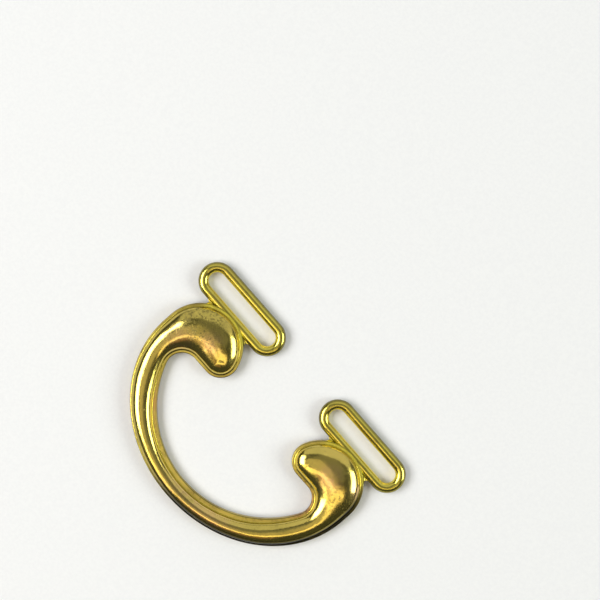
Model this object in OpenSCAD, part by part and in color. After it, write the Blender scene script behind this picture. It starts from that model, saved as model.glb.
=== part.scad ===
// Buckle slider: a C-shaped brass frame with a flat back, a domed front and a strap loop at each end.
// +X runs along the two strap loops, +Y from the curved band towards the loops, +Z is the domed side.
// z = 0 is the plane of the loops' backs, and x = y = 0 is the middle of the overall outline.

/* [Strap loops] */
// Length of the slot inside each loop, for a 19 mm strap
slot_l = 19.5; // [16:0.5:24]
// Width of the slot inside each loop
slot_w = 3.6; // [2.8:0.1:5]
// Diameter of the loop wire
wire_d = 2.2; // [1.8:0.1:2.7]

/* [Frame outline] */
// Width of the frame over its two sides, without the loops
frame_w = 56.8; // [47:0.2:69]
// Distance from the slots' centre line to the outer bottom of the band
frame_drop = 37.8; // [33:0.2:46]
// Radius of each broad end
bulb_r = 9.1; // [8:0.1:11]
// Length of the straight side between the band's curve and the broad end
side_l = 1.9; // [0:0.1:4]
// Radius of the nose that each broad end closes with
nose_r = 4; // [3.3:0.1:4.9]
// Direction from a broad end's centre to its nose, counted up from +X
nose_deg = 163; // [150:1:172]
// Width of the band at its lowest point
band_w = 4.7; // [3.9:0.1:5.7]
// Radius of the band's inner curve
inner_r = 23.4; // [19.6:0.2:28.2]
// Radius of the corner under each broad end
corner_r = 3.6; // [3:0.1:4.4]

/* [Section] */
// Thickness of the back plate
plate_t = 1.7; // [1.2:0.1:2]
// Thickness of plate left over the loop wire that it is seated on
lip_t = 0.2; // [0.1:0.05:0.4]
// How far the plate laps over the loop wire, from the wire's outer side
lap = 1.35; // [0.8:0.05:1.6]
// Width of plate left bare outside the dome, along the band
outer_ledge = 0.4; // [0.35:0.05:0.6]
// Width of plate left bare inside the dome, along the band
inner_ledge = 1.1; // [0.8:0.05:1.25]
// Width of plate left bare around the dome on each broad end
end_ledge = 0.75; // [0.5:0.05:0.95]
// Height of the dome above the plate at the band's lowest point
band_rise = 1.4; // [1.1:0.1:1.8]
// Height of the dome above the plate where a broad end is widest
bulb_rise = 2.5; // [1.8:0.1:3.2]
// Wall of the hollow dome
dome_wall = 0.7; // [0.5:0.05:0.8]

/* [Solder] */
// Width of the solder fillet around the dome's foot
seam_w = 0.2; // [0.1:0.05:0.3]
// Radius of the hollow face of each solder web beside a loop
web_r = 0.6; // [0.4:0.05:0.9]

/* [Hidden] */
$fn = 96;

BRASS = "darkgoldenrod";
BRIGHT_BRASS = "goldenrod";
DULL_BRASS = "olive";
SOLDER = "khaki";

// Steps along the outer edge: up the band's curve, up the straight side, over the broad end, round the nose.
BAND_STEPS = 30;
SIDE_STEPS = 2;
BULB_STEPS = 24;
NOSE_STEPS = 14;
// Steps along each stretch of the inner edge that the widths are measured against.
INNER_STEPS = 120;
// Film between the seam fillet and the dome, and how far the fillet climbs the dome's curve.
SEAM_FILM = 0.01;
SEAM_CLIMB_DEG = 8;
// Share of the seam fillet's width and height that is left at the middle of its hollow face.
SEAM_HOLLOW = 1 / 3;
// How far a solder web laps over the bar beside it, and how high it stands, in wire radii.
WEB_LAP = 1 / 3;
WEB_TOP = 1.7;
// Angles up the dome's half-ellipse profile and up its hollow.
DOME_DEG = [0, SEAM_CLIMB_DEG, 18, 30, 43, 57, 72];
HOLLOW_DEG = [65, 35, 0];

wire_r = wire_d / 2;
bar_y = slot_w / 2 + wire_r;
loop_h = slot_w / 2 + wire_d;
slot_y = (frame_drop - loop_h) / 2;
plate_top = wire_d + lip_t;
plate_z = plate_top - plate_t;

half_w = frame_w / 2;
bulb_x = half_w - bulb_r;
bulb_y = slot_y - loop_h + lap - bulb_r;
bulb = [bulb_x, bulb_y];
nose = bulb + (bulb_r - nose_r) * [cos(nose_deg), sin(nose_deg)];
oval_y = bulb_y - side_l;
oval_h = oval_y - (slot_y - frame_drop);
inner_y = slot_y - frame_drop + band_w + inner_r;
corner_y = nose.y - nose_r - corner_r;
corner_x = sqrt(pow(inner_r - corner_r, 2) - pow(corner_y - inner_y, 2));
corner = [corner_x, corner_y];
corner_deg = atan2(corner_y - inner_y, corner_x);

function at_angle(r, a) = r * [cos(a), sin(a)];
function mirrored(p) = [-p.x, p.y];

// Width of bare plate a share t of the way up the band: w to the middle, then easing to the ends' width.
function ease(t) = t * t * (3 - 2 * t);
function ledge(w, t) = w + (end_ledge - w) * ease(max(0, 2 * t - 1));

// Right half of the outer edge, from its lowest point to the nose,
// as [point, direction into the metal, width of bare plate].
OUTER_EDGE = concat(
    [for (i = [0:BAND_STEPS - 1])
        let (t = i / BAND_STEPS, a = -90 + 90 * t, n = [cos(a) * oval_h, sin(a) * half_w])
        [[half_w * cos(a), oval_y + oval_h * sin(a)], -n / norm(n), ledge(outer_ledge, t)]],
    [for (i = [0:SIDE_STEPS - 1]) [[half_w, oval_y + side_l * i / SIDE_STEPS], [-1, 0], end_ledge]],
    [for (i = [0:BULB_STEPS])
        let (u = at_angle(1, nose_deg * i / BULB_STEPS)) [bulb + bulb_r * u, -u, end_ledge]]);

// Right half of the inner edge, from its lowest point to the nose, in the same form.
INNER_EDGE = concat(
    [for (i = [0:INNER_STEPS - 1])
        let (t = i / INNER_STEPS, u = at_angle(1, -90 + (corner_deg + 90) * t))
        [[0, inner_y] + inner_r * u, u, ledge(inner_ledge, t)]],
    [for (i = [0:INNER_STEPS - 1])
        let (u = at_angle(1, corner_deg + (90 - corner_deg) * i / INNER_STEPS))
        [corner + corner_r * u, u, end_ledge]],
    [for (i = [0:INNER_STEPS])
        [[corner.x + (nose.x - corner.x) * i / INNER_STEPS, nose.y - nose_r], [0, 1], end_ledge]]);

// A point counts as across the metal from an edge point when it is this far along the inward direction.
LEAST_ACROSS = 0.01;
// A radius larger than any in the frame, for points that aren't across the metal.
TOO_LARGE_R = 1000;
// Radius of the circle that touches the edge at p, lies along u and passes through q.
function touch_r(p, u, q) =
    let (d = q - p)
    d * u > LEAST_ACROSS ? d * d / (2 * (d * u)) : TOO_LARGE_R;

// Ribs across the metal, one from each point of the outer edge. Each is the largest circle between the edges,
// as [centre, radius, direction to the outer edge, direction to the inner edge]. bare is 0 for the plate's
// edges, and 1 for the dome's, which stand in from them by the bare plate.
function set_in(edge, bare) = [for (e = edge) e[0] + bare * e[2] * e[1]];
function ribs(bare) =
    let (outer = set_in(OUTER_EDGE, bare), inner = set_in(INNER_EDGE, bare))
    [for (i = [0:len(outer) - 1])
        let (u = OUTER_EDGE[i][1], radii = [for (q = inner) touch_r(outer[i], u, q)], r = min(radii))
        let (near = inner[search(r, radii)[0]], centre = outer[i] + r * u)
        [centre, r, -u, (near - centre) / norm(near - centre)]];

// The closed edge round a set of ribs, counter-clockwise from the bottom,
// as [centre, radius, direction outwards, ridge point].
function edge_round(across) =
    let (last = len(across) - 1, end = across[last])
    let (half = concat(
        [for (i = [0:last]) [across[i][0], across[i][1], across[i][2], i]],
        [for (i = [1:NOSE_STEPS - 1])
            [end[0], end[1], at_angle(1, nose_deg + (270 - nose_deg) * i / NOSE_STEPS), last]],
        [for (i = [last:-1:0]) [across[i][0], across[i][1], across[i][3], i]]))
    concat(half, [for (i = [len(half) - 2:-1:1]) let (e = half[i])
        [mirrored(e[0]), e[1], mirrored(e[2]), e[3] == 0 ? 0 : last + e[3]]]);

PLATE_EDGE = edge_round(ribs(0));
DOME_RIBS = ribs(1);
DOME_EDGE = edge_round(DOME_RIBS);
N = len(DOME_EDGE);
// Ridge points of the dome, as [point, radius]: the right half's, then the left half's.
RIDGE = concat([for (r = DOME_RIBS) [r[0], r[1]]],
    [for (i = [1:len(DOME_RIBS) - 1]) [mirrored(DOME_RIBS[i][0]), DOME_RIBS[i][1]]]);
band_r = DOME_RIBS[0][1];
widest_r = max([for (r = DOME_RIBS) r[1]]);

// Height of the dome's ridge over a circle of radius r: it rises evenly with the width.
function rise(r) = band_rise + (bulb_rise - band_rise) * (r - band_r) / (widest_r - band_r);
function edge_point(e, inset) = e[0] + (e[1] - inset) * e[2];
function lifted(p, z) = [p.x, p.y, z];

// A ring of points up the dome's half-ellipse, or up one that is wall inside it.
function dome_ring(wall, a) =
    [for (e = DOME_EDGE)
        lifted(e[0] + (e[1] - wall) * cos(a) * e[2], plate_top + (rise(e[1]) - wall) * sin(a))];
function ridge_line(wall) = [for (p = RIDGE) lifted(p[0], plate_top + rise(p[1]) - wall)];

// Triangles between two rings of N points that start at a and b.
function band_faces(a, b) = [for (k = [0:N - 1]) let (n = (k + 1) % N)
    each [[a + k, b + k, b + n], [a + k, b + n, a + n]]];
// Triangles between the ring that starts at a and the ridge that starts at b, seen from outside.
function ridge_faces(a, b) = [for (k = [0:N - 1])
    let (n = (k + 1) % N, i = b + DOME_EDGE[k][3], j = b + DOME_EDGE[n][3])
    each i == j ? [[a + k, i, a + n]] : [[a + k, i, j], [a + k, j, a + n]]];
function flipped(faces) = [for (f = faces) [f[2], f[1], f[0]]];

module frame_outline() {
    polygon([for (e = PLATE_EDGE) edge_point(e, 0)]);
}

// Places its children at the right loop, or mirrored at the left one.
module at_side(side) {
    mirror([side < 0 ? 1 : 0, 0, 0]) translate([bulb_x, slot_y, 0]) children();
}

// The straight bar of a loop that carries the frame, lengthwise along X.
module seated_bar() {
    translate([0, -bar_y, wire_r])
        rotate([0, 90, 0])
            cylinder(h = slot_l - slot_w, r = wire_r, center = true);
}

module back_plate() {
    color(DULL_BRASS) difference() {
        translate([0, 0, plate_z]) linear_extrude(plate_t) frame_outline();
        at_side(1) loop();
        at_side(-1) loop();
    }
}

module domed_front() {
    hollow_rings = [for (a = HOLLOW_DEG) dome_ring(dome_wall, a)];
    dome_rings = [for (a = DOME_DEG) dome_ring(0, a)];
    rings = concat(hollow_rings, dome_rings);
    hollow_ridge = len(rings) * N;
    dome_ridge = hollow_ridge + len(RIDGE);
    faces = concat(
        flipped(ridge_faces(0, hollow_ridge)),
        [for (i = [0:len(rings) - 2]) each band_faces(i * N, (i + 1) * N)],
        ridge_faces((len(rings) - 1) * N, dome_ridge));
    points = concat([for (r = rings) each r], ridge_line(dome_wall), ridge_line(0));
    color(BRASS) polyhedron(points, faces);
}

module loop() {
    straight = slot_l - slot_w;
    seated_bar();
    mirror([0, 1, 0]) seated_bar();
    for (side = [1, -1])
        translate([side * straight / 2, 0, wire_r])
            rotate([0, 0, side * -90])
                rotate_extrude(angle = 180) translate([bar_y, 0]) circle(wire_r);
}

module left_loop() {
    color(BRIGHT_BRASS) at_side(-1) loop();
}

module right_loop() {
    color(BRIGHT_BRASS) at_side(1) loop();
}

module seam_solder() {
    foot = [for (e = DOME_EDGE) lifted(edge_point(e, -SEAM_FILM), plate_top)];
    top = dome_ring(0, SEAM_CLIMB_DEG);
    shoulder = [for (i = [0:N - 1]) top[i] + SEAM_FILM * lifted(DOME_EDGE[i][2], 0)];
    hollow = [for (i = [0:N - 1])
        let (climb = (top[i].z - plate_top) * SEAM_HOLLOW)
        lifted(edge_point(DOME_EDGE[i], -seam_w * SEAM_HOLLOW), plate_top + climb)];
    toe = [for (e = DOME_EDGE) lifted(edge_point(e, -seam_w), plate_top)];
    rings = [foot, toe, hollow, shoulder];
    faces = [for (i = [0:3]) each band_faces(i * N, (i + 1) % 4 * N)];
    color(SOLDER) polyhedron([for (r = rings) each r], faces);
}

// One web of solder, in the cusp between the loop's bar and the frame's edge, right of the loop's centre.
module web() {
    bar_edge = -loop_h;
    bulb_drop = bulb_y - slot_y;
    web_y = bar_edge - web_r;
    web_x = sqrt(pow(bulb_r + web_r, 2) - pow(web_y - bulb_drop, 2));
    web_deg = atan2(web_y - bulb_drop, web_x);
    touch = [0, bulb_drop] + at_angle(bulb_r, web_deg);
    over_bar = bar_edge + wire_r * WEB_LAP;
    web_top = wire_r * WEB_TOP;
    difference() {
        translate([0, 0, plate_z]) linear_extrude(web_top - plate_z) difference() {
            polygon([[0, over_bar], [web_x, over_bar], [web_x, web_y], touch, [0, touch.y]]);
            translate([0, bulb_drop]) circle(bulb_r);
            translate([web_x, web_y]) circle(web_r);
        }
        loop();
    }
}

module solder_webs() {
    web();
    mirror([1, 0, 0]) web();
}

module left_solder() {
    color(SOLDER) at_side(-1) solder_webs();
}

module right_solder() {
    color(SOLDER) at_side(1) solder_webs();
}

back_plate();
domed_front();
left_loop();
right_loop();
seam_solder();
left_solder();
right_solder();
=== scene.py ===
"""Looks of a brass buckle slider: a C-shaped frame with a domed front, a flat back and two strap loops.

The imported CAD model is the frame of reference. Finer pieces are built in the same places from its boxes,
each gets an aged brass finish, and a plain studio with one camera is set up around them.
"""

import logging
import math
from collections.abc import Callable, Iterable, Sequence
from dataclasses import dataclass
from enum import Enum

import bmesh
import bpy
import numpy as np
from mathutils import Matrix, Vector, noise


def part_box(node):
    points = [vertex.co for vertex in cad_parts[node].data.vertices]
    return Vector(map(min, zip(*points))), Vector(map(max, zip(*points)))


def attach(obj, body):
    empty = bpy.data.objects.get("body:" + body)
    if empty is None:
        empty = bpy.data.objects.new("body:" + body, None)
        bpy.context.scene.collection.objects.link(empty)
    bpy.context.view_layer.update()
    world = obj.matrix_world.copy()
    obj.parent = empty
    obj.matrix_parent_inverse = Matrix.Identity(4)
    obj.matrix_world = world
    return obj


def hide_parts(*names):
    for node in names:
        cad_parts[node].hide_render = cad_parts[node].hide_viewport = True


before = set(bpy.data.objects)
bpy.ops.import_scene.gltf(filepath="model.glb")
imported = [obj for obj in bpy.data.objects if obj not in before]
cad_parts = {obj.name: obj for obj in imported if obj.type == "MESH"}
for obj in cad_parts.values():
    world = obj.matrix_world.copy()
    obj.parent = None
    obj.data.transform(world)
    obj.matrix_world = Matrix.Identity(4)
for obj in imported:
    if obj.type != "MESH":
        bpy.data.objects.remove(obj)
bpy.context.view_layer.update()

LOG = logging.getLogger("buckle_slider")
MM = 0.001
WELD = 1e-7
BODY = "root"
# Vertex attribute with the dirt and painted shade that the finishes darken by.
DIRT_AND_PAINTED_SHADE = "dirt_and_painted_shade"
# Flat direction that the frame's deepest painted shade faces: a painted dark reflection on what is turned
# this way.
PAINTED_SHADE_SIDE = Vector((0.752, -0.659))
# Shortest reach across the metal that counts when a circle is fitted.
MIN_REACH = 100 * WELD


def ease(value: float, low: float, high: float) -> float:
    """Climbs smoothly from 0 at low to 1 at high."""
    t = min(1.0, max(0.0, (value - low) / (high - low)))
    return t * t * (3 - 2 * t)


class Slot(Enum):
    """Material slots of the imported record."""

    PLATE = "plate_brass"
    DOME = "dome_brass"
    LOOP = "loop_brass"
    SOLDER = "solder"


class Side(Enum):
    """The two ends of the frame, by the sign of X."""

    LEFT = -1
    RIGHT = 1


@dataclass(frozen=True)
class PaintedShadeByFacing:
    """How patina and painted shade deepen on what faces the frame's dark side; the shade there is a painted
    dark reflection.
    """

    start: float
    full: float
    least: float
    most: float = 1.0

    def at(self, direction: Vector) -> float:
        """Patina and painted shade, from least to most, for a flat direction."""
        return self.least + (self.most - self.least) * ease(direction.dot(PAINTED_SHADE_SIDE), self.start, self.full)


# --------------------------------------------------------------------------------------------- the outline


@dataclass(frozen=True)
class Station:
    """One place on the closed edge: the circle that fits across the metal, and the way out from it."""

    centre: Vector
    radius: float
    outward: Vector

    def at(self, reach: float, z: float) -> Vector:
        """Point that far from the circle's centre, at height z."""
        flat = self.centre + reach * self.outward
        return Vector((flat.x, flat.y, z))


@dataclass(frozen=True)
class FramePlan:
    """Sizes of the frame's outline, and the stations that its pieces are built on."""

    plate_low: Vector
    plate_high: Vector
    bulb_r: float = 9.1 * MM
    side_l: float = 1.9 * MM
    nose_r: float = 4.0 * MM
    nose_deg: float = 163.0
    band_w: float = 4.7 * MM
    inner_r: float = 23.4 * MM
    corner_r: float = 3.6 * MM
    outer_ledge: float = 0.4 * MM
    inner_ledge: float = 1.1 * MM
    end_ledge: float = 0.75 * MM
    band_steps: int = 60
    side_steps: int = 4
    bulb_steps: int = 56
    nose_steps: int = 28
    inner_steps: int = 900
    # Patina and painted shade along the outer edge, the shade deepest where it faces the dark side.
    rim_patina_and_shade_by_facing: PaintedShadeByFacing = PaintedShadeByFacing(0.30, 0.75, 0.35)
    rim_shade_start: float = 0.940
    rim_shade_full: float = 0.972

    @property
    def bulb(self) -> np.ndarray:
        """Centre of the right broad end."""
        return np.array([self.plate_high.x - self.bulb_r, self.plate_high.y - self.bulb_r])

    def rim_patina_and_painted_shade(self, point: Vector) -> float:
        """Dark patina and painted shade along the frame's outer edge, the shade deepest where it faces the
        dark side.

        Args:
            point: A point on the frame.

        Returns:
            How deep it is there, from 0 to 1.
        """
        middle = Vector((0, self.bulb[1] - self.side_l))
        away = point.xy - middle
        reach = Vector((away.x / self.plate_high.x, away.y / (middle.y - self.plate_low.y))).length
        return self.rim_patina_and_shade_by_facing.at(away.normalized()) * ease(reach, self.rim_shade_start, self.rim_shade_full)

    @property
    def nose(self) -> np.ndarray:
        """Centre of the right broad end's nose."""
        a = math.radians(self.nose_deg)
        return self.bulb + (self.bulb_r - self.nose_r) * np.array([math.cos(a), math.sin(a)])

    def ledge(self, start: float, share: np.ndarray) -> np.ndarray:
        """Width of bare plate along the band.

        Args:
            start: Width at the band's lowest point, kept to the middle of the band.
            share: How far up the band each point is, from 0 to 1.

        Returns:
            The width at each point, easing to the broad ends' width.
        """
        t = np.clip(2 * share - 1, 0, 1)
        return start + (self.end_ledge - start) * t * t * (3 - 2 * t)

    def outer_edge(self) -> tuple[np.ndarray, np.ndarray, np.ndarray]:
        """Right half of the outer edge, from the band's lowest point to the nose.

        Returns:
            Points, directions into the metal, and widths of bare plate.
        """
        half_w = self.plate_high.x
        oval_y = self.bulb[1] - self.side_l
        oval_h = oval_y - self.plate_low.y
        share = np.arange(self.band_steps) / self.band_steps
        a = np.radians(-90 + 90 * share)
        band = np.stack([half_w * np.cos(a), oval_y + oval_h * np.sin(a)], 1)
        normal = -np.stack([np.cos(a) * oval_h, np.sin(a) * half_w], 1)
        normal /= np.linalg.norm(normal, axis=1)[:, None]
        climb = np.arange(self.side_steps) / self.side_steps
        side = np.stack([np.full(self.side_steps, half_w), oval_y + self.side_l * climb], 1)
        a = np.radians(np.linspace(0, self.nose_deg, self.bulb_steps + 1))
        round_end = np.stack([np.cos(a), np.sin(a)], 1)
        points = np.concatenate([band, side, self.bulb + self.bulb_r * round_end])
        normals = np.concatenate([normal, np.tile([-1.0, 0.0], (self.side_steps, 1)), -round_end])
        rest = np.full(self.side_steps + self.bulb_steps + 1, self.end_ledge)
        return points, normals, np.concatenate([self.ledge(self.outer_ledge, share), rest])

    def inner_edge(self) -> tuple[np.ndarray, np.ndarray, np.ndarray]:
        """Right half of the inner edge, from the band's lowest point to the nose.

        Returns:
            Points, directions into the metal, and widths of bare plate.
        """
        n = self.inner_steps
        inner_y = self.plate_low.y + self.band_w + self.inner_r
        nose_x, nose_y = self.nose
        corner_y = nose_y - self.nose_r - self.corner_r
        corner_x = math.sqrt((self.inner_r - self.corner_r) ** 2 - (corner_y - inner_y) ** 2)
        corner_deg = math.degrees(math.atan2(corner_y - inner_y, corner_x))
        share = np.arange(n) / n
        a = np.radians(-90 + (corner_deg + 90) * share)
        along_band = np.stack([np.cos(a), np.sin(a)], 1)
        a = np.radians(corner_deg + (90 - corner_deg) * share)
        round_corner = np.stack([np.cos(a), np.sin(a)], 1)
        under = np.stack([np.linspace(corner_x, nose_x, n + 1), np.full(n + 1, nose_y - self.nose_r)], 1)
        points = np.concatenate([
            np.array([0, inner_y]) + self.inner_r * along_band,
            np.array([corner_x, corner_y]) + self.corner_r * round_corner,
            under,
        ])
        normals = np.concatenate([along_band, round_corner, np.tile([0.0, 1.0], (n + 1, 1))])
        return points, normals, np.concatenate([
            self.ledge(self.inner_ledge, share), np.full(2 * n + 1, self.end_ledge)])

    def stations(self, bare: float) -> list[Station]:
        """Stations of the right half, up the outer edge, round the nose and back along the inner edge.

        Args:
            bare: 0 for the plate's own edge, 1 for the edge that stands in from it by the bare plate.

        Returns:
            The stations, the first and the last of them on the frame's middle line.
        """
        outer, u, outer_bare = self.outer_edge()
        inner, into, inner_bare = self.inner_edge()
        outer = outer + bare * outer_bare[:, None] * u
        inner = inner + bare * inner_bare[:, None] * into
        out_side, in_side = [], []
        for p, direction in zip(outer, u):
            d = inner - p
            reach = d @ direction
            across = reach > MIN_REACH
            radii = np.where(across, (d * d).sum(1) / (2 * np.where(across, reach, 1)), np.inf)
            k = int(radii.argmin())
            centre = p + radii[k] * direction
            back = (inner[k] - centre) / np.linalg.norm(inner[k] - centre)
            out_side.append(Station(Vector(centre), float(radii[k]), Vector(-direction)))
            in_side.append(Station(Vector(centre), float(radii[k]), Vector(back)))
        end = out_side[-1]
        fan = []
        for i in range(1, self.nose_steps):
            a = math.radians(self.nose_deg + (270 - self.nose_deg) * i / self.nose_steps)
            fan.append(Station(end.centre, end.radius, Vector((math.cos(a), math.sin(a)))))
        return out_side + fan + in_side[::-1]


# ----------------------------------------------------------------------------------------- making meshes


Row = Callable[[Station], Vector]
# How much dirt and painted shade lies at a point that faces a given way.
DirtAndPaintedShade = Callable[[Vector, Vector], float]


class MeshShop:
    """Turns rows of points into welded, outward-facing, smooth meshes."""

    @staticmethod
    def extrude_rows(bm: bmesh.types.BMesh, first: Sequence[Vector], closed: bool,
                     rest: Iterable[Sequence[Vector]]) -> None:
        """Draws a chain of edges and extrudes it through more rows of as many points.

        Args:
            bm: The mesh to add to.
            first: Points of the first row.
            closed: Whether each row is a closed ring.
            rest: The other rows, in order.
        """
        tag = bm.verts.layers.int.new("place")
        chain = [bm.verts.new(p) for p in first]
        for i, vert in enumerate(chain):
            vert[tag] = i
        pairs = list(zip(chain, chain[1:])) + ([(chain[-1], chain[0])] if closed else [])
        edges = [bm.edges.new(pair) for pair in pairs]
        for row in rest:
            made = bmesh.ops.extrude_edge_only(bm, edges=edges)["geom"]
            verts = {g for g in made if isinstance(g, bmesh.types.BMVert)}
            edges = [g for g in made if isinstance(g, bmesh.types.BMEdge) and set(g.verts) <= verts]
            for vert in verts:
                vert.co = row[vert[tag]]

    @staticmethod
    def finish(bm: bmesh.types.BMesh, name: str, crease_deg: float = 40.0,
               dirt_and_painted_shade: DirtAndPaintedShade | None = None, turned: bool = False) -> bpy.types.Object:
        """Welds the mesh, turns its faces outwards and makes it an object.

        Args:
            bm: The mesh, which is freed.
            name: Name of the object and of its mesh.
            crease_deg: Edges sharper than this stay sharp.
            dirt_and_painted_shade: How much dirt and painted shade, from 0 to 1, lies at a point that faces
                a given way.
            turned: Whether the faces already point outwards.

        Returns:
            The new object, linked to the scene, at the origin.
        """
        bmesh.ops.remove_doubles(bm, verts=bm.verts[:], dist=WELD)
        bmesh.ops.dissolve_degenerate(bm, edges=bm.edges[:], dist=WELD)
        if not turned:
            bmesh.ops.recalc_face_normals(bm, faces=bm.faces[:])
        bm.normal_update()
        open_edges = sum(not e.is_manifold for e in bm.edges)
        for face in bm.faces:
            face.smooth = True
        for edge in bm.edges:
            if edge.is_manifold and edge.calc_face_angle() > math.radians(crease_deg):
                edge.smooth = False
        # Stores the dirt and painted shade on each vertex, for the finish to darken by.
        dirt_and_painted_shade_amount = bm.verts.layers.float.new(DIRT_AND_PAINTED_SHADE)
        for vert in bm.verts:
            vert[dirt_and_painted_shade_amount] = dirt_and_painted_shade(vert.co, vert.normal) if dirt_and_painted_shade else 0.0
        mesh = bpy.data.meshes.new(name)
        bm.to_mesh(mesh)
        bm.free()
        obj = bpy.data.objects.new(name, mesh)
        bpy.context.scene.collection.objects.link(obj)
        LOG.info("%s: %d faces, %d open edges", name, len(mesh.polygons), open_edges)
        return obj

    @classmethod
    def ribbed(cls, name: str, stations: Sequence[Station], rows: Sequence[Row],
               wobble: Callable[[Vector], Vector] | None = None,
               dirt_and_painted_shade: DirtAndPaintedShade | None = None) -> bpy.types.Object:
        """A piece that follows the frame's edge, built in rows on the right half and mirrored.

        Args:
            name: Name of the piece.
            stations: Stations of the right half.
            rows: For each row, where it passes each station.
            wobble: Small shift of a finished point, if the surface is a little uneven.
            dirt_and_painted_shade: How much dirt and painted shade lies at a point that faces a given way.

        Returns:
            The closed piece.
        """
        bm = bmesh.new()
        points = [[row(s) for s in stations] for row in rows]
        cls.extrude_rows(bm, points[0], False, points[1:])
        bmesh.ops.mirror(bm, geom=bm.verts[:] + bm.edges[:] + bm.faces[:], matrix=Matrix.Identity(4),
                         merge_dist=WELD, axis="X")
        if wobble:
            for vert in bm.verts:
                vert.co += wobble(vert.co)
        return cls.finish(bm, name, dirt_and_painted_shade=dirt_and_painted_shade)


def place_piece(obj: bpy.types.Object, slot: Slot, material: bpy.types.Material, *nodes: str) -> None:
    """Gives a piece its finish and ties it to the frame.

    Args:
        obj: The piece.
        slot: Material slot of the record that its finish belongs to. Not used.
        material: Its finish.
        nodes: CAD nodes that it stands for.
    """
    obj.data.materials.append(material)
    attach(obj, BODY)
    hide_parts(*nodes)


# ---------------------------------------------------------------------------------------------- finishes


Socket = bpy.types.NodeSocket
Value = Socket | float | tuple[float, ...]
Colour = tuple[float, float, float]
Span = tuple[float, float]


@dataclass(frozen=True)
class Cloud:
    """One kind of cloudy noise, with that many cells a millimetre."""

    scale: float
    detail: float
    roughness: float
    distortion: float = 0.0


@dataclass(frozen=True)
class Rub:
    """Fine scratches along one direction, where stretched noise lies within a span."""

    stretch: tuple[float, float, float]
    turn_deg: float
    shown: Span


TONE = Cloud(0.17, 3, 0.5, 0.4)
MOTTLE = Cloud(0.55, 7, 0.62, 0.6)
GRAIN = Cloud(4.0, 5, 0.7)
STREAK = Cloud(1.0, 2, 0.5)
FLECK = Cloud(1.9, 4, 0.65)
WAVE = Cloud(0.32, 2, 0.4)
RIPPLE = Cloud(1.3, 2, 0.5)
FIBRE = Cloud(1.5, 6, 0.6)
RUBS = (Rub((0.25, 9.0, 1.0), 38, (0.66, 0.74)), Rub((7.0, 0.3, 1.0), 12, (0.68, 0.76)))

# Where in its noise each pattern sets in, and where it is full.
TONE_SPAN: Span = (0.3, 0.7)
FILM_SPAN: Span = (0.45, 0.75)
FLECK_SPAN: Span = (0.50, 0.60)
HAZE_SPAN: Span = (0.40, 0.62)
BLUSH_SPAN: Span = (0.3, 0.6)
# The next span mottles the dirt and painted shade.
DIRT_AND_SHADE_SPAN: Span = (0.25, 0.5)
GRAIN_SPAN: Span = (0.3, 0.7)
# What stays of the blush and of the dirt and painted shade where their pattern hasn't set in.
BLUSH_LEAST = 0.2
DIRT_AND_SHADE_LEAST = 0.92

# Pits: cells a millimetre, their edge within a cell, how softly they appear, and what they do.
PIT_CELLS = 1.3
PIT_EDGE: Span = (0.16, 0.07)
PIT_SOFTNESS = 0.02
PIT_DEPTH_MM = 0.04
PIT_ROUGHNESS = 0.3
PIT_COLOUR: Colour = (0.10, 0.07, 0.03)
SCRATCH_DEPTH_MM = 0.002
SCRATCH_ROUGHNESS = 0.06
GRAIN_DEPTH_MM = 0.0025
GRAIN_ROUGHNESS = 0.05
FIBRE_DEPTH_MM = 0.01
# Near-black colour of the dirt and painted shade.
DIRT_AND_SHADE_COLOUR: Colour = (0.028, 0.027, 0.016)
# Height in millimetres over which the front's bright patches set in, so that the back has none.
FRONT_MM: Span = (1.4, 2.1)
PAPER: tuple[Colour, Colour] = ((0.845, 0.85, 0.875), (0.875, 0.88, 0.90))


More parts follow.
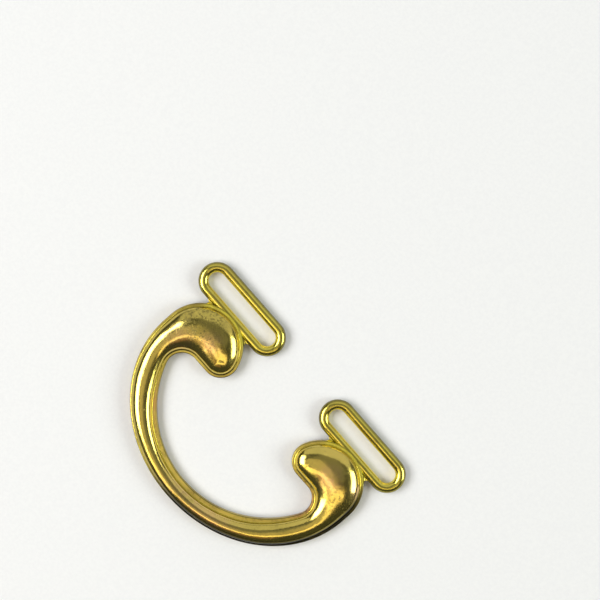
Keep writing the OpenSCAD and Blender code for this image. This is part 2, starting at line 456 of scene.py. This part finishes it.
class Bench:
    """Adds nodes to one material and wires them up."""

    def __init__(self, name: str) -> None:
        """Starts a material with one shader.

        Args:
            name: Name of the material.
        """
        self.material = bpy.data.materials.new(name)
        self.material.use_nodes = True
        self.tree = self.material.node_tree
        self.shader = self.tree.nodes["Principled BSDF"]
        self.coords = self.node("ShaderNodeTexCoord").outputs["Object"]

    def node(self, kind: str, inputs: dict[str | int, Value] | None = None,
             **settings: object) -> bpy.types.Node:
        """Adds a node.

        Args:
            kind: Blender's name of the node type.
            inputs: Sockets to link and values to set, by input name or number.
            settings: Properties of the node.

        Returns:
            The new node.
        """
        node = self.tree.nodes.new(kind)
        for key, setting in settings.items():
            setattr(node, key, setting)
        for key, value in (inputs or {}).items():
            if isinstance(value, Socket):
                self.tree.links.new(value, node.inputs[key])
            else:
                node.inputs[key].default_value = value
        return node

    def millimetres(self, stretch: tuple[float, float, float] = (1, 1, 1), turn_deg: float = 0.0) -> Socket:
        """Object coordinates in millimetres.

        Args:
            stretch: Factor along each axis, after the turn.
            turn_deg: Turn about Z.

        Returns:
            The coordinates.
        """
        turned = self.node("ShaderNodeMapping", {
            "Vector": self.coords, "Rotation": (0, 0, math.radians(turn_deg)),
            "Scale": (1 / MM, 1 / MM, 1 / MM)})
        return self.node("ShaderNodeMapping", {"Vector": turned.outputs[0], "Scale": stretch}).outputs[0]

    def noise(self, vector: Socket, cloud: Cloud) -> Socket:
        """Cloudy noise from 0 to 1."""
        return self.node("ShaderNodeTexNoise", {
            "Vector": vector, "Scale": cloud.scale, "Detail": cloud.detail,
            "Roughness": cloud.roughness, "Distortion": cloud.distortion}).outputs["Fac"]

    def span(self, value: Socket, low: float, high: float,
             to_low: float = 0.0, to_high: float = 1.0) -> Socket:
        """Maps a range smoothly onto another one, clamped."""
        return self.node("ShaderNodeMapRange", {
            "Value": value, "From Min": low, "From Max": high, "To Min": to_low, "To Max": to_high},
            interpolation_type="SMOOTHSTEP").outputs["Result"]

    def sum(self, operation: str, a: Value, b: Value) -> Socket:
        """One sum on two numbers, clamped to 0..1."""
        return self.node("ShaderNodeMath", {0: a, 1: b}, operation=operation, use_clamp=True).outputs[0]

    def blend(self, factor: Value, a: Value, b: Value) -> Socket:
        """Mixes two colours.

        Args:
            factor: Share of the second colour.
            a: The first colour.
            b: The second colour.

        Returns:
            The mixed colour.
        """
        node = self.node("ShaderNodeMix", {"Factor": factor}, data_type="RGBA")
        for socket, value in ((node.inputs[6], a), (node.inputs[7], b)):
            if isinstance(value, Socket):
                self.tree.links.new(value, socket)
            else:
                socket.default_value = (*value, 1.0)
        return node.outputs[2]

    def spot(self, centre: tuple[float, float, float], radius: float, edge: float) -> Socket:
        """A soft spot.

        Args:
            centre: Its centre, in millimetres.
            radius: Its radius, in millimetres.
            edge: How far its edge fades to either side of the radius.

        Returns:
            A mask, 1 at the centre and 0 outside.
        """
        offset = self.node("ShaderNodeVectorMath", {0: self.millimetres(), 1: centre}, operation="SUBTRACT")
        length = self.node("ShaderNodeVectorMath", {0: offset.outputs[0]}, operation="LENGTH")
        return self.span(length.outputs["Value"], radius + edge, max(radius - edge, 0.0))

    def bump(self, height: Value, depth_mm: float, normal: Socket | None = None) -> Socket:
        """Raises the surface.

        Args:
            height: Height from 0 to 1.
            depth_mm: Depth of a height of 1.
            normal: Normal of the relief beneath, if there is one.

        Returns:
            The new normal.
        """
        inputs: dict[str | int, Value] = {"Height": height, "Strength": 1.0, "Distance": depth_mm * MM}
        if normal:
            inputs["Normal"] = normal
        return self.node("ShaderNodeBump", inputs).outputs["Normal"]


@dataclass(frozen=True)
class Patch:
    """A place on the frame where the finish differs, in millimetres."""

    centre: tuple[float, float, float]
    radius: float
    edge: float
    amount: float


@dataclass(frozen=True)
class Patterns:
    """Patterns that a finish's colour, roughness and relief share."""

    place: Socket
    tone: Socket
    mottle: Socket
    grain: Socket
    scratches: Socket
    film: Socket
    pits: Socket


@dataclass(frozen=True)
class BrassFinish:
    """Aged brass: polished metal with cloudy tone, a speckled film of tarnish, pits and fine scratches."""

    name: str
    clean: Colour
    cloud: Colour
    tarnish: Colour
    copper: Colour
    film: float
    smooth: float
    dull: float
    wave: float
    ripple: float
    pits: float
    fleck: float = 0.65
    bright: Colour = (0.92, 0.82, 0.10)
    tarnish_patches: tuple[Patch, ...] = ()
    copper_patches: tuple[Patch, ...] = ()
    bright_patches: tuple[Patch, ...] = ()
    pitted_patches: tuple[Patch, ...] = ()

    @staticmethod
    def masked(bench: Bench, patches: Sequence[Patch]) -> Socket | float:
        """Joins patches into one mask.

        Args:
            bench: The material's bench.
            patches: The patches.

        Returns:
            The mask, or 0 if there are no patches.
        """
        total: Socket | float = 0.0
        for patch in patches:
            spot = bench.sum("MULTIPLY", bench.spot(patch.centre, patch.radius, patch.edge), patch.amount)
            total = bench.sum("MAXIMUM", spot, total)
        return total

    def patterns(self, bench: Bench) -> Patterns:
        """Lays out the patterns of the metal's surface.

        Args:
            bench: The material's bench.

        Returns:
            The patterns, each from 0 to 1.
        """
        place = bench.millimetres()
        tone = bench.noise(place, TONE)
        mottle = bench.noise(place, MOTTLE)
        rubs = [bench.span(bench.noise(bench.millimetres(rub.stretch, rub.turn_deg), STREAK), *rub.shown)
                for rub in RUBS]

        region = bench.sum("ADD", bench.span(tone, *FILM_SPAN, 0.0, self.film),
                           self.masked(bench, self.tarnish_patches))
        flecks = bench.sum("MULTIPLY", bench.span(bench.noise(place, FLECK), *FLECK_SPAN), self.fleck)
        haze = bench.sum("MULTIPLY", bench.span(mottle, *HAZE_SPAN), 1 - self.fleck)
        film = bench.sum("MULTIPLY", region, bench.sum("ADD", haze, flecks))

        cells = bench.node("ShaderNodeTexVoronoi", {"Vector": place, "Scale": PIT_CELLS})
        chance = bench.node("ShaderNodeSeparateColor", {0: cells.outputs["Color"]}).outputs[0]
        chance = bench.sum("ADD", chance, self.masked(bench, self.pitted_patches))
        pits = bench.sum("MULTIPLY", bench.span(cells.outputs["Distance"], *PIT_EDGE),
                         bench.span(chance, 1.0 - self.pits, 1.0 - self.pits + PIT_SOFTNESS))
        return Patterns(place=place, tone=tone, mottle=mottle, grain=bench.noise(place, GRAIN),
                        scratches=bench.sum("MAXIMUM", *rubs), film=film, pits=pits)

    def colour(self, bench: Bench, shared: Patterns) -> Socket:
        """Colours the metal, from clean brass up to the dirt and painted shade on top.

        Args:
            bench: The material's bench.
            shared: The surface's patterns.

        Returns:
            The base colour.
        """
        colour = bench.blend(bench.span(shared.tone, *TONE_SPAN), self.clean, self.cloud)
        height = bench.node("ShaderNodeSeparateXYZ", {0: shared.place}).outputs["Z"]
        rubbed = bench.sum("MULTIPLY", self.masked(bench, self.bright_patches),
                           bench.span(height, *FRONT_MM))
        colour = bench.blend(rubbed, colour, self.bright)
        blush = bench.sum("MULTIPLY", self.masked(bench, self.copper_patches),
                          bench.span(shared.mottle, *BLUSH_SPAN, BLUSH_LEAST))
        colour = bench.blend(blush, colour, self.copper)
        colour = bench.blend(shared.film, colour, self.tarnish)
        colour = bench.blend(shared.pits, colour, PIT_COLOUR)
        # The mesh's dirt and painted shade, mottled, darken the colour towards near black.
        dirt_and_painted_shade_amount = bench.node("ShaderNodeAttribute", attribute_name=DIRT_AND_PAINTED_SHADE).outputs["Fac"]
        dirt_and_painted_shade_share = bench.sum("MULTIPLY", dirt_and_painted_shade_amount, bench.span(shared.mottle, *DIRT_AND_SHADE_SPAN, DIRT_AND_SHADE_LEAST))
        return bench.blend(dirt_and_painted_shade_share, colour, DIRT_AND_SHADE_COLOUR)

    def roughness(self, bench: Bench, shared: Patterns) -> Socket:
        """Dulls the metal where it is tarnished, scratched or pitted.

        Args:
            bench: The material's bench.
            shared: The surface's patterns.

        Returns:
            The roughness.
        """
        rough = bench.sum("ADD", bench.span(shared.film, 0.0, 1.0, self.smooth, self.dull),
                          bench.span(shared.grain, *GRAIN_SPAN, 0.0, GRAIN_ROUGHNESS))
        rough = bench.sum("ADD", rough, bench.sum("MULTIPLY", shared.scratches, SCRATCH_ROUGHNESS))
        return bench.sum("ADD", rough, bench.sum("MULTIPLY", shared.pits, PIT_ROUGHNESS))

    def relief(self, bench: Bench, shared: Patterns) -> Socket:
        """Waves, ripples, grain, scratches and pits, one on top of the other.

        Args:
            bench: The material's bench.
            shared: The surface's patterns.

        Returns:
            The normal.
        """
        normal = bench.bump(bench.noise(shared.place, WAVE), self.wave)
        normal = bench.bump(bench.noise(shared.place, RIPPLE), self.ripple, normal)
        normal = bench.bump(shared.grain, GRAIN_DEPTH_MM, normal)
        normal = bench.bump(shared.scratches, -SCRATCH_DEPTH_MM, normal)
        return bench.bump(shared.pits, -PIT_DEPTH_MM, normal)

    def make(self) -> bpy.types.Material:
        """Builds the material.

        Returns:
            The finished material.
        """
        bench = Bench(self.name)
        shared = self.patterns(bench)
        inputs = bench.shader.inputs
        inputs["Metallic"].default_value = 1.0
        bench.tree.links.new(self.colour(bench, shared), inputs["Base Color"])
        bench.tree.links.new(self.roughness(bench, shared), inputs["Roughness"])
        bench.tree.links.new(self.relief(bench, shared), inputs["Normal"])
        return bench.material


DOME_FINISH = BrassFinish(
    name="polished_brass_dome", clean=(0.84, 0.65, 0.15), cloud=(0.72, 0.58, 0.13),
    tarnish=(0.20, 0.16, 0.05), copper=(0.95, 0.60, 0.30), film=0.45, smooth=0.14, dull=0.36,
    wave=0.06, ripple=0.008, pits=0.05,
    tarnish_patches=(Patch((-22.8, 9.6, 4.5), 4.6, 2.4, 1.0), Patch((-26.0, 1.0, 3.8), 2.5, 2.0, 0.5),
                     Patch((25.5, 6.0, 4.0), 3.5, 2.5, 0.7)),
    copper_patches=(Patch((19.5, 7.4, 4.8), 2.5, 2.0, 0.7), Patch((-18.2, 7.2, 4.8), 2.2, 1.8, 0.7),
                    Patch((-23.0, 3.0, 4.0), 3.0, 2.0, 0.5), Patch((26.0, 10.0, 4.0), 1.8, 1.5, 0.8),
                    Patch((6.0, -20.0, 3.6), 9.0, 5.0, 0.5)),
    pitted_patches=(Patch((-25.8, -2.0, 3.8), 1.8, 0.8, 0.6), Patch((-17.8, -13.2, 3.9), 0.9, 0.6, 0.8)))
# Each solder joint's rubbed spots, by distance from the frame's middle line, Y and radius.
RUBBED_SPOTS = ((14.7, 13.3, 2.2), (19.3, 14.2, 3.4), (23.9, 13.3, 2.2))
PLATE_FINISH = BrassFinish(
    name="stained_brass_plate", clean=(0.76, 0.60, 0.13), cloud=(0.58, 0.45, 0.10),
    tarnish=(0.18, 0.11, 0.035), copper=(0.56, 0.27, 0.11), film=0.75, smooth=0.36, dull=0.55,
    wave=0.04, ripple=0.012, pits=0.08,
    tarnish_patches=(Patch((20.0, 6.0, 0.7), 7.5, 3.0, 0.9), Patch((-12.0, -17.0, 0.7), 5.0, 4.0, 0.7),
                     Patch((24.0, -6.0, 0.7), 4.0, 3.0, 0.6)),
    copper_patches=(Patch((22.0, 0.0, 0.7), 5.0, 3.0, 0.8), Patch((-18.0, -12.0, 0.7), 5.0, 3.0, 0.6)),
    bright_patches=tuple(Patch((side.value * x, y, 2.4), radius, 1.2, 0.85)
                         for side in Side for x, y, radius in RUBBED_SPOTS))
LOOP_FINISH = BrassFinish(
    name="polished_brass_wire", clean=(0.86, 0.74, 0.13), cloud=(0.72, 0.60, 0.11),
    tarnish=(0.40, 0.34, 0.14), copper=(0.8, 0.5, 0.2), film=0.3, smooth=0.16, dull=0.38,
    wave=0.02, ripple=0.005, pits=0.03)
SOLDER_FINISH = BrassFinish(
    name="bright_solder", clean=(0.92, 0.80, 0.12), cloud=(0.84, 0.70, 0.12),
    tarnish=(0.42, 0.34, 0.12), copper=(0.8, 0.5, 0.2), film=0.3, smooth=0.22, dull=0.4,
    wave=0.06, ripple=0.03, pits=0.03)


# ------------------------------------------------------------------------------------------------ pieces


@dataclass(frozen=True)
class DomedFront:
    """The hollow dome on the front of the plate."""

    plan: FramePlan
    foot_z: float
    top_z: float
    band_rise: float = 1.4 * MM
    wall: float = 0.7 * MM
    rows: int = 22
    hollow_rows: int = 6
    unevenness: float = 0.02 * MM
    uneven_from: float = 0.8 * MM
    uneven_size: float = 4.5 * MM
    # Dirt and painted shade at the dome's foot fade out between these heights above it, and deepen where
    # the foot faces the dark side.
    shaded_to: float = 0.1 * MM
    unshaded_from: float = 1.0 * MM
    patina_and_painted_shade: PaintedShadeByFacing = PaintedShadeByFacing(0.25, 0.7, 0.6)

    def rise(self, radius: float, widest: float, narrowest: float) -> float:
        """Height of the ridge over a circle of that radius."""
        full = self.top_z - self.foot_z - self.unevenness
        return self.band_rise + (full - self.band_rise) * (radius - narrowest) / (widest - narrowest)

    def build(self) -> bpy.types.Object:
        """Builds the dome from its hollow's ridge, out over its foot and up to its own ridge.

        Returns:
            The closed shell.
        """
        stations = self.plan.stations(1.0)
        widest = max(s.radius for s in stations)
        narrowest = stations[0].radius

        def row(angle: float, wall: float) -> Row:
            """A row up the half-ellipse at that angle, this far inside the outer skin."""
            return lambda s: s.at(
                (s.radius - wall) * math.cos(angle),
                self.foot_z + (self.rise(s.radius, widest, narrowest) - wall) * math.sin(angle))

        up = [math.pi / 2 * i / self.rows for i in range(self.rows + 1)]
        down = [math.pi / 2 * (1 - i / self.hollow_rows) for i in range(self.hollow_rows + 1)]
        rows = [row(a, self.wall) for a in down] + [row(a, 0.0) for a in up]
        return MeshShop.ribbed("domed_front_shell", stations, rows, self.wobble, self.dirt_and_painted_shade)

    def dirt_and_painted_shade(self, point: Vector, normal: Vector) -> float:
        """Dirt and painted shade at the dome's foot, deepest where it faces the dark side, and patina with
        painted shade along the frame's outer edge.

        Args:
            point: A point on the dome.
            normal: The way its surface faces there.

        Returns:
            How dark it is painted there, from 0 to 1.
        """
        foot = 1 - ease(point.z - self.foot_z, self.shaded_to, self.unshaded_from)
        return max(foot * self.patina_and_painted_shade.at(normal.xy), self.plan.rim_patina_and_painted_shade(point))

    def wobble(self, point: Vector) -> Vector:
        """Gentle unevenness of the struck sheet, none at the foot."""
        lift = min(1.0, max(0.0, (point.z - self.foot_z) / self.uneven_from))
        return Vector((0, 0, self.unevenness * lift * noise.noise(point / self.uneven_size)))


@dataclass(frozen=True)
class BackPlate:
    """The flat plate under the dome, with softly rounded edges."""

    plan: FramePlan
    low_z: float
    top_z: float
    top_round: float = 0.22 * MM
    low_round: float = 0.3 * MM
    round_steps: int = 5
    shoulders: Span = (1.6, 4.0)
    edge_slope: Span = (0.15, 0.6)
    wall_slope: Span = (0.8, 1.0)
    # Painted shade on the rounded edges is lighter on the side wall and deepest where they face the dark
    # side.
    wall_less_shade: float = 0.6
    patina_and_painted_shade: PaintedShadeByFacing = PaintedShadeByFacing(0.25, 0.7, 0.7, 0.95)

    def build(self) -> bpy.types.Object:
        """Builds the plate from the middle of its back, round its edge, to the middle of its front.

        Rows just inside each rounded edge, so many of its radii in, keep the flat faces flat.

        Returns:
            The closed plate.
        """
        turns = [math.pi / 2 * i / self.round_steps for i in range(self.round_steps + 1)]
        low, top = self.low_round, self.top_round
        rows: list[Row] = [self.row(None, self.low_z)]
        rows += [self.row(k * low, self.low_z) for k in reversed(self.shoulders)]
        rows += [self.row(low * (1 - math.sin(a)), self.low_z + low * (1 - math.cos(a))) for a in turns]
        rows += [self.row(top * (1 - math.cos(a)), self.top_z - top * (1 - math.sin(a))) for a in turns]
        rows += [self.row(k * top, self.top_z) for k in self.shoulders]
        rows.append(self.row(None, self.top_z))
        return MeshShop.ribbed("back_plate_stamped", self.plan.stations(0.0), rows, dirt_and_painted_shade=self.dirt_and_painted_shade)

    def dirt_and_painted_shade(self, point: Vector, normal: Vector) -> float:
        """Dirt and painted shade on the plate's rounded edges, deepest where they face the dark side and
        less on its side wall, and patina with painted shade along its outer edge.

        Args:
            point: A point on the plate.
            normal: The way its surface faces there.

        Returns:
            How dark it is painted there, from 0 to 1.
        """
        sideways = normal.xy.length
        kept = 1 - self.wall_less_shade * ease(sideways, *self.wall_slope)
        front = ease(point.z, self.low_z + self.low_round, self.low_z + 2 * self.low_round)
        edge = ease(sideways, *self.edge_slope) * self.patina_and_painted_shade.at(normal.xy)
        return kept * max(edge, self.plan.rim_patina_and_painted_shade(point) * front)

    @staticmethod
    def row(inset: float | None, z: float) -> Row:
        """A row that far in from the edge, or along the ridge if there is no inset."""
        return lambda s: s.at(0.0 if inset is None else max(s.radius - inset, 0.0), z)


@dataclass(frozen=True)
class SeamFillet:
    """The thin fillet of solder round the dome's foot."""

    plan: FramePlan
    foot_z: float
    width: float = 0.2 * MM
    height: float = 0.3 * MM
    sunk: float = 0.05 * MM
    steps: int = 6
    # Painted shade in the corner, deepest where the fillet faces the dark side.
    patina_and_painted_shade: PaintedShadeByFacing = PaintedShadeByFacing(0.2, 0.6, 0.25)

    def build(self) -> bpy.types.Object:
        """Builds the fillet as a closed strip with a hollow face.

        Returns:
            The closed strip.
        """
        rows: list[Row] = [self.row(-self.sunk, 0.0)]
        for i in range(self.steps + 1):
            a = math.pi / 2 * i / self.steps
            rows.append(self.row(self.width * (1 - math.sin(a)), self.height * (1 - math.cos(a))))
        rows += [self.row(-self.sunk, self.height), self.row(-self.sunk, 0.0)]
        return MeshShop.ribbed("seam_fillet", self.plan.stations(1.0), rows, dirt_and_painted_shade=self.dirt_and_painted_shade)

    def dirt_and_painted_shade(self, point: Vector, normal: Vector) -> float:
        """Painted shade in the corner, deepest where the fillet faces the dark side, and patina with
        painted shade along the outer edge.
        """
        return max(self.patina_and_painted_shade.at(normal.xy), self.plan.rim_patina_and_painted_shade(point))

    def row(self, out: float, up: float) -> Row:
        """A row that far outside the dome's foot and above the plate."""
        return lambda s: s.at(s.radius + out, self.foot_z + up)


@dataclass(frozen=True)
class StrapLoop:
    """A closed ring of round wire that a strap passes through."""

    side: Side
    low: Vector
    high: Vector
    around: int = 40
    turn_steps: int = 30
    bar_steps: int = 14
    # How much darker the outside of the ring is, and over which facing that sets in.
    patina_and_painted_shade: float = 0.80
    patina_and_painted_shade_slope: Span = (0.45, 0.90)

    @property
    def wire_r(self) -> float:
        """Radius of the wire."""
        return (self.high.z - self.low.z) / 2

    def build(self) -> bpy.types.Object:
        """Draws the wire's section and runs it along the bars and round the end turns.

        Returns:
            The closed ring.
        """
        middle = (self.low + self.high) / 2
        bar_y = (self.high.y - self.low.y) / 2 - self.wire_r
        half_bar = (self.high.x - self.low.x) / 2 - self.wire_r - bar_y
        bm = bmesh.new()
        section = bmesh.ops.create_circle(bm, segments=self.around, radius=self.wire_r)["verts"]
        bmesh.ops.rotate(bm, verts=section, matrix=Matrix.Rotation(math.pi / 2, 3, "Y"))
        bmesh.ops.translate(bm, verts=section, vec=middle + Vector((half_bar, -bar_y, 0)))
        edges = bm.edges[:]
        for turn in (1, -1):
            end = bmesh.ops.spin(bm, geom=edges, cent=middle + Vector((turn * half_bar, 0, 0)),
                                 axis=(0, 0, 1), angle=math.pi, steps=self.turn_steps)["geom_last"]
            edges = [g for g in end if isinstance(g, bmesh.types.BMEdge)]
            for _ in range(self.bar_steps):
                made = bmesh.ops.extrude_edge_only(bm, edges=edges)["geom"]
                verts = [g for g in made if isinstance(g, bmesh.types.BMVert)]
                edges = [g for g in made
                         if isinstance(g, bmesh.types.BMEdge) and set(g.verts) <= set(verts)]
                bmesh.ops.translate(bm, verts=verts, vec=(-turn * 2 * half_bar / self.bar_steps, 0, 0))
        return MeshShop.finish(bm, f"{self.side.name.lower()}_strap_loop", dirt_and_painted_shade=self.dirt_and_painted_shade)

    def dirt_and_painted_shade(self, point: Vector, normal: Vector) -> float:
        """Darkens the wire round the outside of the ring.

        Args:
            point: A point on the wire.
            normal: The way its surface faces there.

        Returns:
            How much darker it is there, from 0 to 1.
        """
        middle = ((self.low + self.high) / 2).xy
        half_bar = (self.high.x - self.low.x - self.high.y + self.low.y) / 2
        along = min(half_bar, max(-half_bar, point.x - middle.x))
        out = (point.xy - middle - Vector((along, 0))).normalized()
        return self.patina_and_painted_shade * ease(normal.xy.dot(out), *self.patina_and_painted_shade_slope)


@dataclass(frozen=True)
class SolderWebs:
    """The two webs of solder that fill the cusps beside one loop."""

    side: Side
    plan: FramePlan
    loop: StrapLoop
    low_z: float
    top_z: float
    root: float = 3.0 * MM
    reach: float = 5.75 * MM
    flare: float = 0.9 * MM
    into_plate: float = 0.25 * MM
    wire_deg: float = 28.0
    wire_bite: float = 0.9
    thickness: float = 0.9 * MM
    feather: float = 0.08 * MM
    sag: float = 0.18 * MM
    steps: int = 16
    across: int = 10
    crease_deg: float = 60.0

    def section(self, share: float) -> list[Vector]:
        """Points round the web's section at a share of the way from its root to its tip.

        Args:
            share: 0 at the root, beside the middle of the bar, and 1 at the hollow outer edge.

        Returns:
            A closed ring of points: across the top from the wire to the plate, and back underneath.
        """
        wire_r, bulb_r = self.loop.wire_r, self.plan.bulb_r
        middle = (self.loop.low + self.loop.high) / 2
        bulb_y = self.plan.plate_high.y - bulb_r
        lift = math.radians(self.wire_deg)
        wire_y = self.loop.low.y + wire_r * (1 - math.cos(lift) * self.wire_bite)
        wire_z = middle.z + wire_r * math.sin(lift)
        plate_z = self.top_z - self.feather
        thick = self.feather + (self.thickness - self.feather) * (1 - share ** 3)
        top, under = [], []
        for i in range(self.across + 1):
            t = i / self.across
            tip = self.reach + self.flare * (2 * t - 1) ** 2
            x = self.root + (tip - self.root) * share
            plate_y = bulb_y + math.sqrt(bulb_r ** 2 - x ** 2) - self.into_plate
            z = wire_z + (plate_z - wire_z) * t * t - self.sag * math.sin(math.pi * t)
            y = wire_y + (plate_y - wire_y) * t
            top.append(Vector((middle.x + x, y, z)))
            under.append(Vector((middle.x + x, y, max(z - thick, self.low_z))))
        return top + under[::-1]

    def build(self) -> bpy.types.Object:
        """Lofts one web, turns it outwards by its volume and mirrors it across the loop's middle.

        Returns:
            The two closed webs.
        """
        bm = bmesh.new()
        rings = [self.section(i / self.steps) for i in range(self.steps + 1)]
        MeshShop.extrude_rows(bm, rings[0], True, rings[1:])
        bmesh.ops.holes_fill(bm, edges=bm.edges[:], sides=0)
        bmesh.ops.recalc_face_normals(bm, faces=bm.faces[:])
        if bm.calc_volume(signed=True) < 0:
            bmesh.ops.reverse_faces(bm, faces=bm.faces[:])
        volume = bm.calc_volume(signed=True)
        middle_x = (self.loop.low.x + self.loop.high.x) / 2
        made = bmesh.ops.mirror(bm, geom=bm.verts[:] + bm.edges[:] + bm.faces[:], merge_dist=-1, axis="X",
                                matrix=Matrix.Translation(Vector((-middle_x, 0, 0))))["geom"]
        if bm.calc_volume(signed=True) < volume:
            bmesh.ops.reverse_faces(bm, faces=[g for g in made if isinstance(g, bmesh.types.BMFace)])
        return MeshShop.finish(bm, f"{self.side.name.lower()}_solder_webs", self.crease_deg, turned=True)


# ---------------------------------------------------------------------------------------------- studio


@dataclass(frozen=True)
class SoftBox:
    """A soft area light, placed by its direction round the view and its height above the floor."""

    name: str
    toward_deg: float
    elevation_deg: float
    distance: float
    width: float
    height: float
    brightness: float
    colour: Colour = (1.0, 1.0, 1.0)

    @property
    def power(self) -> float:
        """Power in watts that makes its face that bright."""
        return self.brightness * math.pi * self.width * self.height


@dataclass(frozen=True)
class Studio:
    """A plain pale floor, soft boxes, dim grey surroundings and the camera almost straight above."""

    aim: Vector
    lean: Vector = Vector((-0.0361, 0.0235, 0.9991))
    view_turn_deg: float = 48.87
    distance: float = 294 * MM
    lens: float = 84.0
    sensor: float = 36.0
    floor_half: float = 3.0
    floor_gap: float = 0.01 * MM
    room: Colour = (0.055, 0.06, 0.055)
    boxes: tuple[SoftBox, ...] = (
        SoftBox("left_window", 176, 46, 1.0, 0.74, 0.50, 7.2, (1.0, 1.0, 0.98)),
        SoftBox("right_window", 352, 31, 1.0, 0.58, 0.44, 6.0, (0.94, 1.0, 0.94)),
        SoftBox("upper_panel", 76, 33, 1.0, 2.3, 1.1, 0.55),
        SoftBox("warm_ceiling", 215, 79, 1.15, 0.56, 0.46, 0.46, (1.0, 0.90, 0.74)),
        SoftBox("dim_ceiling", 45, 75, 1.15, 0.9, 0.60, 0.15),
        SoftBox("warm_strip", 262, 67, 1.1, 0.95, 0.15, 1.9, (1.0, 0.82, 0.58)),
        SoftBox("low_left_lamp", 217, 49, 1.0, 0.24, 0.24, 2.2, (1.0, 0.87, 0.60)),
        SoftBox("brown_card", 240, 54, 1.0, 0.60, 0.17, 0.22, (1.0, 0.52, 0.36)),
    )

    def camera(self) -> None:
        """Sets the camera over the aim point, looking down."""
        data = bpy.data.cameras.new("camera")
        data.lens = self.lens
        data.sensor_width = self.sensor
        data.clip_start = 1 * MM
        camera = bpy.data.objects.new("camera", data)
        camera.location = self.aim + self.distance * self.lean
        turn = math.radians(self.view_turn_deg)
        right = Vector((-math.sin(turn), math.cos(turn), 0)).cross(self.lean).normalized()
        up = self.lean.cross(right)
        camera.rotation_euler = Matrix((right, up, self.lean)).transposed().to_euler()
        bpy.context.scene.collection.objects.link(camera)
        bpy.context.scene.camera = camera

    def lights(self) -> None:
        """Hangs the soft boxes round the aim point, each facing it."""
        for box in self.boxes:
            a = math.radians(self.view_turn_deg + box.toward_deg)
            e = math.radians(box.elevation_deg)
            away = Vector((math.cos(a) * math.cos(e), math.sin(a) * math.cos(e), math.sin(e)))
            data = bpy.data.lights.new(box.name, "AREA")
            data.shape = "RECTANGLE"
            data.size, data.size_y = box.width, box.height
            data.energy = box.power
            data.color = box.colour
            light = bpy.data.objects.new(box.name, data)
            light.location = self.aim + away * box.distance
            light.rotation_euler = (-away).to_track_quat("-Z", "Y").to_euler()
            bpy.context.scene.collection.objects.link(light)

    def surroundings(self) -> None:
        """A dim, even grey room."""
        world = bpy.data.worlds.new("room")
        world.use_nodes = True
        bpy.context.scene.world = world
        inputs = world.node_tree.nodes["Background"].inputs
        inputs["Color"].default_value = (*self.room, 1.0)
        inputs["Strength"].default_value = 1.0

    def floor(self, contact: Vector, rest: Vector) -> None:
        """Lays a pale floor that touches the loops' backs and the band's far edge.

        Args:
            contact: Lowest point of the loops.
            rest: Lowest point of the band's far edge.
        """
        mesh = bpy.data.meshes.new("floor")
        bm = bmesh.new()
        bmesh.ops.create_grid(bm, x_segments=1, y_segments=1, size=self.floor_half)
        slope = (rest.z - contact.z) / (rest.y - contact.y)
        for vert in bm.verts:
            vert.co.z = contact.z + (vert.co.y - contact.y) * slope - self.floor_gap
        bm.to_mesh(mesh)
        bm.free()
        floor = bpy.data.objects.new("floor", mesh)
        bench = Bench("pale_paper")
        fibre = bench.noise(bench.millimetres(), FIBRE)
        tone = bench.blend(bench.span(fibre, *TONE_SPAN), *PAPER)
        bench.tree.links.new(tone, bench.shader.inputs["Base Color"])
        bench.tree.links.new(bench.bump(fibre, FIBRE_DEPTH_MM), bench.shader.inputs["Normal"])
        bench.shader.inputs["Roughness"].default_value = 0.9
        bench.shader.inputs["Specular IOR Level"].default_value = 0.1
        mesh.materials.append(bench.material)
        bpy.context.scene.collection.objects.link(floor)

    def colours(self) -> None:
        """Plain display colours, so that pale paper stays pale and brass stays saturated."""
        view = bpy.context.scene.view_settings
        view.view_transform = "Standard"
        view.look = "None"
        view.exposure = 0.0
        view.gamma = 1.0


# Flat place that the camera looks at.
VIEW_CENTRE: Span = (-12.8 * MM, 27.4 * MM)


def main() -> None:
    """Builds every piece, then the studio."""
    logging.basicConfig(level=logging.INFO, format="%(name)s: %(message)s")
    plate_low, plate_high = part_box("back_plate")
    dome_low, dome_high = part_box("domed_front")
    plan = FramePlan(plate_low, plate_high)
    loops = {side: StrapLoop(side, *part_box(f"{side.name.lower()}_loop")) for side in Side}
    solder = SOLDER_FINISH.make()
    wire = LOOP_FINISH.make()

    plate = BackPlate(plan, plate_low.z, plate_high.z)
    dome = DomedFront(plan, dome_low.z, dome_high.z)
    place_piece(plate.build(), Slot.PLATE, PLATE_FINISH.make(), "back_plate")
    place_piece(dome.build(), Slot.DOME, DOME_FINISH.make(), "domed_front")
    place_piece(SeamFillet(plan, dome_low.z).build(), Slot.SOLDER, solder, "seam_solder")
    for side, loop in loops.items():
        label = side.name.lower()
        place_piece(loop.build(), Slot.LOOP, wire, f"{label}_loop")
        webs = SolderWebs(side, plan, loop, plate_low.z, plate_high.z)
        place_piece(webs.build(), Slot.SOLDER, solder, f"{label}_solder")

    studio = Studio(aim=Vector((*VIEW_CENTRE, plate_high.z)))
    studio.camera()
    studio.lights()
    studio.surroundings()
    bar = loops[Side.RIGHT]
    studio.floor(Vector((0, bar.low.y + bar.wire_r, bar.low.z)), Vector((0, plate_low.y, plate_low.z)))
    studio.colours()


if __name__ == "__main__":
    main()
